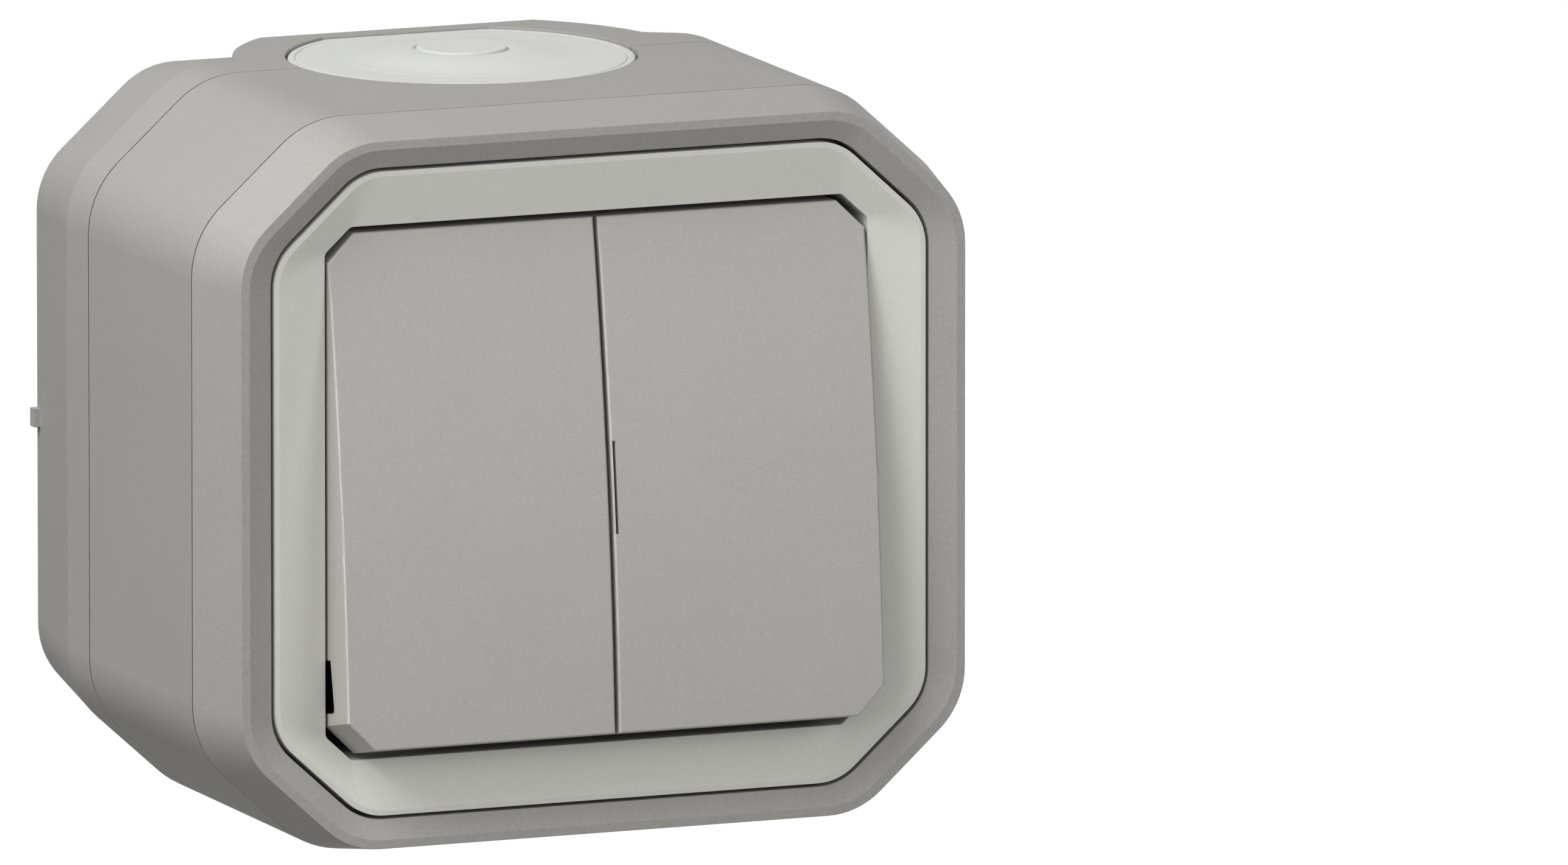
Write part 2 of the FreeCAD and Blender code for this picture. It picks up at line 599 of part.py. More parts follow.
def rocker_seal():
    """Elastomer sheet behind the rockers, with a raised lip round each mechanism passage."""
    body = new_body("rocker_seal")
    sheet = opening_outline(body, "sheet", "cover_face", "well_wall")
    pad(body, sheet, "seal_face - cover_face")
    for side in (-1, 1):
        low, high = sorted((f"{side} * 2.2", f"{side} * 24.3"), key=number)
        brick(body, f"lip_{side + 1}", (f"{low} - 0.5", f"{high} + 0.5"),
              ("cover_face", "seal_face + 0.9"), ("-5.9", "5.9"))
        brick(body, f"passage_{side + 1}", (low, high),
              ("cover_face - 1", "seal_face + 2"), ("-5", "5"), "Subtractive")


def pivot_pin(side):
    """Steel pin on the rocker axis, held in the cover's two ears."""
    body = new_body("pivot_pin_left" if side < 0 else "pivot_pin_right")
    ends = sorted((f"{side} * (cradle_inner - 0.3 - ear_wall)",
                   f"{side} * (cradle_outer + 0.3 + ear_wall)"), key=number)
    rod(body, "pin", "across", ("rocker_axis", "0"), ends, "pin_radius")


# ------------------------------------------------------------------- the mechanism

def mechanism_screw_places():
    """The four corners of the mechanism where cover and housing are screwed together."""
    return four_corners("mechanism_screw_across", "mechanism_screw_up")


def mechanism_cover():
    """Front plate of the mechanism, with a window and two bearing ears for each cradle."""
    body = new_body("mechanism_cover")
    brick(body, "plate", ("-housing_half_width", "housing_half_width"),
          ("cover_face - cover_plate", "cover_face"),
          ("-housing_half_height", "housing_half_height"))
    for side in (-1, 1):
        name = "left" if side < 0 else "right"
        window = sorted((f"{side} * (cradle_inner - 0.3)",
                         f"{side} * (cradle_outer + 0.3)"), key=number)
        brick(body, f"{name}_window", window, ("cover_face - 3", "cover_face + 1"),
              ("-4.6", "4.6"), "Subtractive")
        for place_name, inner in (("inner", "cradle_inner - 0.3 - ear_wall"),
                                  ("outer", "cradle_outer + 0.3")):
            ear = sorted((f"{side} * ({inner})", f"{side} * ({inner} + ear_wall)"), key=number)
            brick(body, f"{name}_{place_name}_ear", ear,
                  ("cover_face - cover_plate", "rocker_axis"), ("-2.3", "2.3"))
            rod(body, f"{name}_{place_name}_ear_end", "across", ("rocker_axis", "0"), ear, "2.3")
            rod(body, f"{name}_{place_name}_pin_hole", "across", ("rocker_axis", "0"),
                (f"{ear[0]} - 0.1", f"{ear[1]} + 0.1"), "pin_radius", "Subtractive")
    for index, (across, up) in enumerate(mechanism_screw_places()):
        rod(body, f"screw_hole_{index}", "distance", (across, up),
            ("cover_face - 3", "cover_face + 1"), "1.1", "Subtractive")
        rod(body, f"head_room_{index}", "distance", (across, up),
            ("cover_face - 0.75", "cover_face + 1"), "1.7", "Subtractive")


def mechanism_housing():
    """Open-fronted insulating box round the contacts, with a wall between the two halves."""
    body = new_body("mechanism_housing")
    front = "cover_face - cover_plate"
    brick(body, "block", ("-housing_half_width", "housing_half_width"),
          ("housing_floor", front), ("-housing_half_height", "housing_half_height"))
    for side in (-1, 1):
        name = "left" if side < 0 else "right"
        room = sorted((f"{side} * 1.0", f"{side} * (housing_half_width - housing_wall)"),
                      key=number)
        inner_height = "housing_half_height - housing_wall - 4.6"
        brick(body, f"{name}_room", room, ("housing_floor + 1", f"{front} + 1"),
              (f"-({inner_height})", inner_height), "Subtractive")
        for index, up in enumerate(("-contact_height - 4", "0", "contact_height + 4")):
            slot = (f"{side} * (cradle_inner + cradle_outer) / 2 - 3",
                    f"{side} * (cradle_inner + cradle_outer) / 2 + 3")
            brick(body, f"{name}_slot_{index}", slot, ("housing_floor - 1", "housing_floor + 2"),
                  (f"{up} - 0.6", f"{up} + 0.6"), "Subtractive")
    for index, (across, up) in enumerate(mechanism_screw_places()):
        rod(body, f"screw_hole_{index}", "distance", (across, up),
            ("housing_floor + 4", "cover_face"), "0.85", "Subtractive")


def terminal_block():
    """Rear insulating block: six clamp chambers, each open to a wire hole and a screw."""
    body = new_body("terminal_block")
    brick(body, "block", ("-housing_half_width", "housing_half_width"),
          ("block_back", "housing_floor"), ("-housing_half_height", "housing_half_height"))
    for index, (side, up) in enumerate(terminal_places()):
        room = sorted((f"{side} * chamber_inner", f"{side} * chamber_outer"), key=number)
        brick(body, f"chamber_{index}", room, ("block_back + chamber_floor", "housing_floor + 1"),
              (f"{up} - chamber_half", f"{up} + chamber_half"), "Subtractive")
        rod(body, f"wire_hole_{index}", "distance", (f"{side} * wire_hole_across", up),
            ("block_back - 1", "block_back + chamber_floor + 1"), "wire_hole_radius",
            "Subtractive")
        tunnel = sorted((f"{side} * (chamber_outer - 0.5)", f"{side} * (housing_half_width + 1)"),
                        key=number)
        rod(body, f"screw_tunnel_{index}", "across", ("clamp_axis", up), tunnel,
            "tunnel_radius", "Subtractive")


def terminal_places():
    """Side (-1 left, 1 right) and height of each of the six terminals."""
    return [(side, up) for side in (-1, 1)
            for up in ("-contact_height - 4", "0", "contact_height + 4")]


def terminal_clamps():
    """Six brass cages, each open towards its wire hole."""
    body = new_body("terminal_clamps")
    for index, (side, up) in enumerate(terminal_places()):
        cage = sorted((f"{side} * cage_inner", f"{side} * cage_outer"), key=number)
        brick(body, f"cage_{index}", cage,
              ("block_back + chamber_floor + 0.2", "housing_floor - 1.6"),
              (f"{up} - cage_half", f"{up} + cage_half"))
        inside = sorted((f"{side} * (cage_inner + cage_wall)",
                         f"{side} * (cage_outer - cage_wall)"), key=number)
        brick(body, f"wire_room_{index}", inside, ("block_back + 1", "housing_floor"),
              (f"{up} - cage_half + cage_wall", f"{up} + cage_half - cage_wall"), "Subtractive")
        bore = sorted((f"{side} * (cage_outer - cage_wall - 0.3)",
                       f"{side} * (cage_outer + 0.6)"), key=number)
        rod(body, f"thread_{index}", "across", ("clamp_axis", up), bore,
            "clamp_thread", "Subtractive")


def terminal_screws():
    """Six slotted screws that clamp the wires from the side."""
    body = new_body("terminal_screws")
    for index, (side, up) in enumerate(terminal_places()):
        shank = sorted((f"{side} * 12.6", f"{side} * 19"), key=number)
        head = sorted((f"{side} * 18.6", f"{side} * 21"), key=number)
        slot = sorted((f"{side} * 20.2", f"{side} * 22"), key=number)
        centre = ("clamp_axis", up)
        rod(body, f"shank_{index}", "across", centre, shank, "clamp_thread")
        rod(body, f"head_{index}", "across", centre, head, "clamp_head")
        brick(body, f"drive_slot_{index}", slot, ("clamp_axis - 3", "clamp_axis + 3"),
              (f"{up} - 0.35", f"{up} + 0.35"), "Subtractive")


def contact_arm(side):
    """See-saw contact of copper strip, drawn about its own axis and tilted against it."""
    name = "left" if side < 0 else "right"
    body = new_body(f"contact_arm_{name}")
    middle = f"{side} * (cradle_inner + cradle_outer) / 2"
    across = (f"{middle} - arm_half_width", f"{middle} + arm_half_width")
    brick(body, "strip", across, ("-0.4", "0.6"), ("-arm_half_length", "arm_half_length"))
    tilt(body, "arm_axis", "arm_tilt", 1)


def moving_contacts(side):
    """Two silver buttons riveted behind the ends of the see-saw."""
    name = "left" if side < 0 else "right"
    body = new_body(f"moving_contacts_{name}")
    middle = f"{side} * (cradle_inner + cradle_outer) / 2"
    for index, up in enumerate(("-contact_height", "contact_height")):
        rod(body, f"button_{index}", "distance", (middle, up), ("-1.2", "-0.4"), "1.3")
    tilt(body, "arm_axis", "arm_tilt", 1)


def fulcrum_strips():
    """Common strips: each carries its see-saw on two cheeks and goes back to a clamp."""
    body = new_body("fulcrum_strips")
    for side in (-1, 1):
        across = sorted((f"{side} * tail_inner", f"{side} * tail_outer"), key=number)
        brick(body, f"post_{side + 1}", across,
              ("housing_floor - 3", "arm_axis - 0.46"), ("-0.5", "0.5"))
        brick(body, f"foot_{side + 1}", across,
              ("housing_floor + 1", "housing_floor + 1.7"), ("-2.6", "2.6"))


def fixed_strips():
    """Four strips under the see-saws' ends, each with a tail into its clamp."""
    body = new_body("fixed_strips")
    for index, (side, sign) in enumerate(fixed_places()):
        strip = sorted((f"{side} * tail_inner", f"{side} * strip_outer"), key=number)
        inner, outer = sorted((f"{sign} * (contact_height - 1.8)",
                               f"{sign} * (contact_height + 4.5)"), key=number)
        brick(body, f"strip_{index}", strip,
              ("housing_floor + 1", "housing_floor + 1 + strip_height"), (inner, outer))
        inside_cage = sorted((f"{side} * tail_inner", f"{side} * tail_outer"), key=number)
        tail = f"{sign} * (contact_height + 4)"
        brick(body, f"tail_{index}", inside_cage,
              ("housing_floor - 3", "housing_floor + 1 + strip_height"),
              (f"{tail} - 0.45", f"{tail} + 0.45"))


def fixed_places():
    """Side (-1 left, 1 right) and half (-1 lower, 1 upper) of the four fixed contacts."""
    return [(side, sign) for side in (-1, 1) for sign in (-1, 1)]


def fixed_contacts():
    """Four silver buttons on the fixed strips."""
    body = new_body("fixed_contacts")
    for index, (side, sign) in enumerate(fixed_places()):
        centre = (f"{side} * (cradle_inner + cradle_outer) / 2", f"{sign} * contact_height")
        rod(body, f"button_{index}", "distance", centre,
            ("housing_floor + 1 + strip_height", "contact_face"), "1.5")


def support_frame():
    """Sheet-steel frame round the mechanism, screwed to the collar's side posts."""
    body = new_body("support_frame")
    sheet = ("cover_face - cover_plate", "cover_face")
    through = ("cover_face - 3", "cover_face + 1")
    brick(body, "sheet", ("-frame_half_width", "frame_half_width"), sheet,
          ("-frame_half_height", "frame_half_height"))
    brick(body, "mechanism_window", ("-housing_half_width - 0.1", "housing_half_width + 0.1"),
          through, ("-housing_half_height - 0.1", "housing_half_height + 0.1"), "Subtractive")
    for side in (-1, 1):
        edge = sorted((f"{side} * 29", f"{side} * 37"), key=number)
        brick(body, f"bezel_post_room_{side + 1}", edge, through,
              (f"{side} * bezel_screw_up - bezel_post_half - 0.3",
               f"{side} * bezel_screw_up + bezel_post_half + 0.3"), "Subtractive")
        rod(body, f"screw_hole_{side + 1}", "distance", (f"{side} * frame_screw_across", "0"),
            through, "1.7", "Subtractive")


# ------------------------------------------------------------------- fasteners and trim

def screws(label, places, seat, head_radius, head_height, shank_radius, length):
    """Cross-recessed screws with their heads in front of a seat distance."""
    body = new_body(label)
    for index, (across, up) in enumerate(places):
        rod(body, f"head_{index}", "distance", (across, up),
            (seat, f"{seat} + {head_height}"), head_radius)
        rod(body, f"shank_{index}", "distance", (across, up),
            (f"{seat} - {length}", seat), shank_radius)
        recess = (f"{seat} + {head_height} - 0.8", f"{seat} + {head_height} + 1")
        for turn, (wide, tall) in enumerate((("1.1", "0.25"), ("0.25", "1.1"))):
            brick(body, f"recess_{index}_{turn}", (f"{across} - {wide}", f"{across} + {wide}"),
                  recess, (f"{up} - {tall}", f"{up} + {tall}"), "Subtractive")


def side_pair(across, up):
    """Two opposite places: left and below, right and above."""
    return [(f"{side} * {across}", f"{side} * {up}") for side in (-1, 1)]


def cable_membrane():
    """Soft closing membrane of the cable entry: thick rim, low dome and a central nipple."""
    body = new_body("cable_membrane")
    top = "body_half_height - membrane_top"
    rim = sketch_on(body, "rim", "XY_Plane", f"{top} - membrane_depth")
    half_chord = ("sqrt((entry_radius - membrane_play) ^ 2"
                  " - (entry_axis - entry_flat - membrane_play) ^ 2)")
    entry_shape(rim, "entry_radius - membrane_play", "entry_flat + membrane_play", half_chord)
    pad(body, rim, "membrane_depth")
    cone(body, "dome", top, "dome_radius", "nipple_radius + 0.3", "dome_rise")
    rod(body, "nipple", "up", ("0", "entry_axis"), (f"{top} - 4.3", f"{top} + nipple_rise"),
        "nipple_radius")
    web = f"{top} - membrane_web"
    rod(body, "under_hollow", "up", ("0", "entry_axis"),
        (f"{top} - membrane_depth - 2", web), "hollow_radius", "Subtractive")
    cone(body, "dome_hollow", web, "dome_radius - 0.8", "nipple_radius - 0.3", "dome_rise",
         "Subtractive")
    rod(body, "skirt", "up", ("0", "entry_axis"), (f"{top} - 4.3", f"{top} + 0.2"),
        "nipple_radius")
    rod(body, "nipple_cup", "up", ("0", "entry_axis"),
        (f"{top} - 5", f"{top} + nipple_rise - nipple_wall"), "nipple_radius - nipple_wall",
        "Subtractive")


def wall_grommets():
    """Four soft washers that seal the wall screws' holes."""
    body = new_body("wall_grommets")
    for index, (across, up) in enumerate(four_corners("fixing_across", "fixing_up")):
        rod(body, f"washer_{index}", "distance", (across, up),
            ("back_wall", "back_wall + grommet_height"), "grommet_radius")
        rod(body, f"hole_{index}", "distance", (across, up),
            ("back_wall - 1", "back_wall + grommet_height + 1"), "fixing_radius",
            "Subtractive")


def build():
    """Builds every sub-part in the order in which the switch is assembled."""
    rear_box()
    wall_grommets()
    cable_membrane()
    box_gasket()
    box_collar()
    screws("collar_screws", four_corners("box_screw_across", "box_screw_up"),
           "rear_seam + lug_height", "2.7", "1.7", "pilot_radius", "11")
    terminal_block()
    terminal_clamps()
    terminal_screws()
    mechanism_housing()
    fulcrum_strips()
    fixed_strips()
    fixed_contacts()
    for side in (-1, 1):
        contact_arm(side)
        moving_contacts(side)
        cradle(side)
        plunger(side)
        plunger_spring(side)
        pivot_pin(side)
    mechanism_cover()
    screws("mechanism_screws", mechanism_screw_places(), "cover_face - 0.75", "1.6", "0.7",
           "0.85", "7")
    support_frame()
    screws("frame_screws", side_pair("frame_screw_across", "0"), "cover_face", "2.6", "1.7",
           "pilot_radius", "11")
    rocker_seal()
    bezel_gasket()
    front_bezel()
    screws("bezel_screws", side_pair("bezel_screw_across", "bezel_screw_up"),
           "ledge_distance", "1.3", "1.6", "bezel_pilot", "10")
    front_frame()
    for side in (-1, 1):
        rocker(side)


def check():
    """Stops with a plain message if any object failed or any shape is not a good solid."""
    for item in DOCUMENT.Objects:
        if "Invalid" in item.State or "Error" in item.State:
            raise SystemExit(f"{item.Name} failed: {item.State}")
    for body in bodies():
        shape = body.Shape
        if shape.isNull() or not shape.isValid() or not shape.Solids:
            raise SystemExit(f"{body.Label} has no valid solid")


def bodies():
    return [item for item in DOCUMENT.Objects if item.TypeId == "PartDesign::Body"]


def export():
    os.makedirs("parts", exist_ok=True)
    for body in bodies():
        shape = body.Shape
        box = shape.BoundBox
        shape.exportStep(f"parts/{body.Label}.step")
        print(f"{body.Label:24s} solids {len(shape.Solids):2d}  volume {shape.Volume:9.2f}"
              f"  x {box.XMin:7.2f} {box.XMax:7.2f}  y {box.YMin:7.2f} {box.YMax:7.2f}"
              f"  z {box.ZMin:7.2f} {box.ZMax:7.2f}")


fill_sheet()
build()
DOCUMENT.recompute()
check()
export()
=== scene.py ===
"""Looks of a surface-mounted rocker wall switch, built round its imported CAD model.

The box is moulded in a matt grey plastic with a fine spark-eroded texture, the inner frame
in a smoother and lighter one, and the cable entry in a soft pale elastomer. Lengths in this
file are in millimetres until they reach a mesh, which is in metres.
"""
from __future__ import annotations

import json
import logging
import math
from dataclasses import dataclass, field
from enum import Enum

import bmesh
import bpy
import numpy as np
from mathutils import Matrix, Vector

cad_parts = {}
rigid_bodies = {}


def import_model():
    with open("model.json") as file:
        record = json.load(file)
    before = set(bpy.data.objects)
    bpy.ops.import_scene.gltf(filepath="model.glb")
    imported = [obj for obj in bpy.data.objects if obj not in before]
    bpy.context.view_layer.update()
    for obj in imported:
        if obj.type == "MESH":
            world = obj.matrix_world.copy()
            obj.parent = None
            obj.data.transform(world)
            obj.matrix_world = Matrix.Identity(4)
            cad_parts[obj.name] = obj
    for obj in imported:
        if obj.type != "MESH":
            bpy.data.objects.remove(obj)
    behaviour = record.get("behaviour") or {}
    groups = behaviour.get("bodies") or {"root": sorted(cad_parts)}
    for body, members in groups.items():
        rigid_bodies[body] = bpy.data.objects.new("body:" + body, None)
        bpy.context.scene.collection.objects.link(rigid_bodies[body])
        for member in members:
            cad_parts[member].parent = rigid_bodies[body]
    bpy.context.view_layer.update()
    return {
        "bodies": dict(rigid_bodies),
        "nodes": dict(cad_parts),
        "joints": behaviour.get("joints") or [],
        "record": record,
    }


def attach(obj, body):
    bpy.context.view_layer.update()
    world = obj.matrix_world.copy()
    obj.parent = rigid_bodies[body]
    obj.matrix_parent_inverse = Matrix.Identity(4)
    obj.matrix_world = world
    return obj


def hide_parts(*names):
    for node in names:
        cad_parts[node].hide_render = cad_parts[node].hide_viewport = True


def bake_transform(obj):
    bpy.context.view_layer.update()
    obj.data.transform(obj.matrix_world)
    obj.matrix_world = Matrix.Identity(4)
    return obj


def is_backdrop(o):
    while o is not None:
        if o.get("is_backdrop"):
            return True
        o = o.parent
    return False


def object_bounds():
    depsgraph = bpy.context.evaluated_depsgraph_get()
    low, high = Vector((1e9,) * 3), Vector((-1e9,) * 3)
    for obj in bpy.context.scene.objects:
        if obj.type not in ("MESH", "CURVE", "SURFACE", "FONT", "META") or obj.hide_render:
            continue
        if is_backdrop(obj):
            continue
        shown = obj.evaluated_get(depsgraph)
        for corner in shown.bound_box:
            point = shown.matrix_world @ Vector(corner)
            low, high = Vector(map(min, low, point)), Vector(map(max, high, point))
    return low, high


LOG = logging.getLogger("switch")
MM = 0.001

NOISE_LOW, NOISE_HIGH = 0.3, 0.7  # the range that fine noise mostly keeps to
TINT_MIDDLE = 0.35  # share of the clouded colour where the grain is at its middle
CLOUD_SHARE = 0.3  # how far one cloud moves the colour
GLOSS_SWING = 0.05  # how far the grain moves the roughness either way
WELD_M = 1e-7  # points nearer than this become one
CREASE_DEG = 40  # edges over this angle stay sharp


class Half(Enum):
    """The two halves of the switch, as the sign of x on each."""

    LEFT = -1
    RIGHT = 1


# ------------------------------------------------------------------ colour and nodes

def linear(hex_colour: str) -> tuple[float, float, float, float]:
    """Turns an sRGB hex colour into a linear RGBA colour.

    Args:
        hex_colour: six hex digits, with or without a leading #.

    Returns:
        Red, green and blue in linear light, and an alpha of one.
    """
    digits = hex_colour.lstrip("#")
    encoded = [int(digits[start:start + 2], 16) / 255 for start in (0, 2, 4)]
    decoded = [value / 12.92 if value <= 0.04045 else ((value + 0.055) / 1.055) ** 2.4
               for value in encoded]
    return (*decoded, 1.0)


def add_node(tree: bpy.types.NodeTree, kind: str, inputs: dict | None = None,
             **settings: object) -> bpy.types.Node:
    """Adds one shader node.

    Args:
        tree: the node tree that gets the node.
        kind: the node's type name, such as ShaderNodeBump.
        inputs: input name or index to a value, or to the output socket linked to it.
        settings: properties of the node itself.

    Returns:
        The new node.
    """
    node = tree.nodes.new(kind)
    for name, value in settings.items():
        setattr(node, name, value)
    for name, value in (inputs or {}).items():
        if isinstance(value, bpy.types.NodeSocket):
            tree.links.new(value, node.inputs[name])
        else:
            node.inputs[name].default_value = value
    return node


# ------------------------------------------------------------------ finishes

@dataclass(frozen=True)
class Finish:
    """A moulded or metal surface with fine grain, slight clouding and softened edges.

    Attributes:
        name: the real material and process.
        colour: sRGB hex of the surface.
        clouded: sRGB hex that the colour drifts to in soft clouds.
        roughness: middle roughness.
        grain_mm: width of one grain of the texture.
        grain_depth_mm: height of that grain.
        edge_mm: radius that the eye sees on a moulded edge.
        specular: specular level of the principled shader.
        metallic: one for bare metal.
        cloud_mm: width of one cloud.
        sheen: weight of the soft sheen of an elastomer.
        fleck: how far one grain alone moves the colour between the two.
    """

    name: str
    colour: str
    clouded: str
    roughness: float = 0.5
    grain_mm: float = 0.22
    grain_depth_mm: float = 0.004
    edge_mm: float = 0.12
    specular: float = 0.4
    metallic: float = 0.0
    cloud_mm: float = 14.0
    sheen: float = 0.0
    fleck: float = 0.25

    def material(self) -> bpy.types.Material:
        """Builds the node material of this finish.

        Returns:
            The new material: noise on Object coordinates clouds the colour, varies the
            roughness and raises the grain; a bevel node rounds edges for the light.
        """
        made = bpy.data.materials.new(self.name)
        made.use_nodes = True
        tree = made.node_tree
        tree.nodes.clear()
        place = add_node(tree, "ShaderNodeTexCoord").outputs["Object"]
        cloud = add_node(tree, "ShaderNodeTexNoise", {
            "Vector": place, "Scale": 1 / (self.cloud_mm * MM), "Detail": 3.0,
            "Roughness": 0.55})
        grain = add_node(tree, "ShaderNodeTexNoise", {
            "Vector": place, "Scale": 1 / (self.grain_mm * MM), "Detail": 2.0,
            "Roughness": 0.6})
        fleck = add_node(tree, "ShaderNodeMapRange", {
            "Value": grain.outputs["Fac"], "From Min": NOISE_LOW, "From Max": NOISE_HIGH,
            "To Min": TINT_MIDDLE - self.fleck, "To Max": TINT_MIDDLE + self.fleck})
        blend = add_node(tree, "ShaderNodeMath", {
            0: cloud.outputs["Fac"], 1: CLOUD_SHARE, 2: fleck.outputs["Result"]},
            operation="MULTIPLY_ADD")
        tint = add_node(tree, "ShaderNodeMix", {
            "Factor": blend.outputs["Value"], "A": linear(self.colour),
            "B": linear(self.clouded)}, data_type="RGBA")
        gloss = add_node(tree, "ShaderNodeMapRange", {
            "Value": grain.outputs["Fac"], "From Min": NOISE_LOW, "From Max": NOISE_HIGH,
            "To Min": self.roughness - GLOSS_SWING, "To Max": self.roughness + GLOSS_SWING})
        edge = add_node(tree, "ShaderNodeBevel", {"Radius": self.edge_mm * MM}, samples=6)
        relief = add_node(tree, "ShaderNodeBump", {
            "Height": grain.outputs["Fac"], "Strength": 1.0,
            "Distance": self.grain_depth_mm * MM, "Normal": edge.outputs["Normal"]})
        shader = add_node(tree, "ShaderNodeBsdfPrincipled", {
            "Base Color": tint.outputs["Result"], "Roughness": gloss.outputs["Result"],
            "Metallic": self.metallic, "Specular IOR Level": self.specular,
            "Sheen Weight": self.sheen, "Normal": relief.outputs["Normal"]})
        add_node(tree, "ShaderNodeOutputMaterial", {"Surface": shader.outputs["BSDF"]})
        return made


# ASA off a spark-eroded mould: matt, with a fine even grain.
BODY_ASA = Finish("moulded_grey_asa_spark_eroded", "#93928e", "#a5a4a0",
                  grain_mm=0.28, grain_depth_mm=0.011)
# The rockers come from a finer mould and look a shade warmer.
ROCKER_ASA = Finish("moulded_grey_asa_rocker", "#a3a29d", "#b3b2ae", grain_mm=0.26,
                    grain_depth_mm=0.011)
# The inner frame is a lighter, greener resin with a smooth satin surface.
FRAME_ASA = Finish("moulded_light_asa_satin", "#d4d5cd", "#cbccc3", roughness=0.42,
                   grain_mm=0.3, grain_depth_mm=0.004)
# Thermoplastic elastomer: pale, soft and without gloss.
MEMBRANE_TPE = Finish("moulded_pale_tpe", "#c0c1bd", "#bbbcb8", roughness=0.8, specular=0.3,
                      grain_depth_mm=0.002, sheen=0.15)
# EPDM gaskets and washers: black and dull.
SEAL_EPDM = Finish("moulded_black_epdm", "#1d1d1c", "#242422", roughness=0.75)
# Insulating parts of the mechanism: off-white and black polyamide.
WHITE_PA = Finish("moulded_white_polyamide", "#e4e2da", "#dddbd2", roughness=0.45)
BLACK_PA = Finish("moulded_black_polyamide", "#232322", "#2b2b29", roughness=0.45)
# Zinc-plated steel of screws, pins, springs and the support frame.
ZINC_STEEL = Finish("zinc_plated_steel", "#c9cac8", "#bfc2c3", roughness=0.32,
                    metallic=1.0, grain_mm=0.5, grain_depth_mm=0.001)
# Stamped phosphor bronze strip of the contacts.
BRONZE = Finish("stamped_phosphor_bronze", "#c68f5c", "#bb8450", roughness=0.3,
                metallic=1.0, grain_mm=0.6, grain_depth_mm=0.001)
# Turned and milled brass of the clamps.
BRASS = Finish("milled_brass", "#c9a961", "#bd9c55", roughness=0.28, metallic=1.0,
               grain_mm=0.6, grain_depth_mm=0.001)
# Riveted silver alloy of the contact faces.
SILVER = Finish("riveted_silver_alloy", "#dcdcd8", "#cfcfca", roughness=0.25, metallic=1.0,
                grain_mm=0.6, grain_depth_mm=0.001)

SLOT_FINISHES = {
    "body_plastic": BODY_ASA,
    "rocker_plastic": ROCKER_ASA,
    "frame_plastic": FRAME_ASA,
    "membrane_rubber": MEMBRANE_TPE,
    "seal_rubber": SEAL_EPDM,
    "insulator": WHITE_PA,
    "dark_insulator": BLACK_PA,
    "steel": ZINC_STEEL,
    "copper_strip": BRONZE,
    "clamp_brass": BRASS,
    "silver": SILVER,
}


@dataclass
class CarriedNodes:
    """The CAD nodes whose shape is final: they only get their finishes.

    Attributes:
        made: the materials built so far, by material slot.
    """

    frame: dict
    made: dict[str, bpy.types.Material] = field(default_factory=dict)

    def dress(self) -> None:
        """Gives each CAD node the finish of its slot in the record."""
        slots = {part["node"]: part["material_slot"] for part in self.frame["record"]["subparts"]}
        for node, piece in self.frame["nodes"].items():
            slot = slots[node]
            if slot not in self.made:
                self.made[slot] = SLOT_FINISHES[slot].material()
            piece.data.materials.clear()
            piece.data.materials.append(self.made[slot])
            LOG.info("dressed %s as %s", node, self.made[slot].name)


# ------------------------------------------------------------------ soft pieces

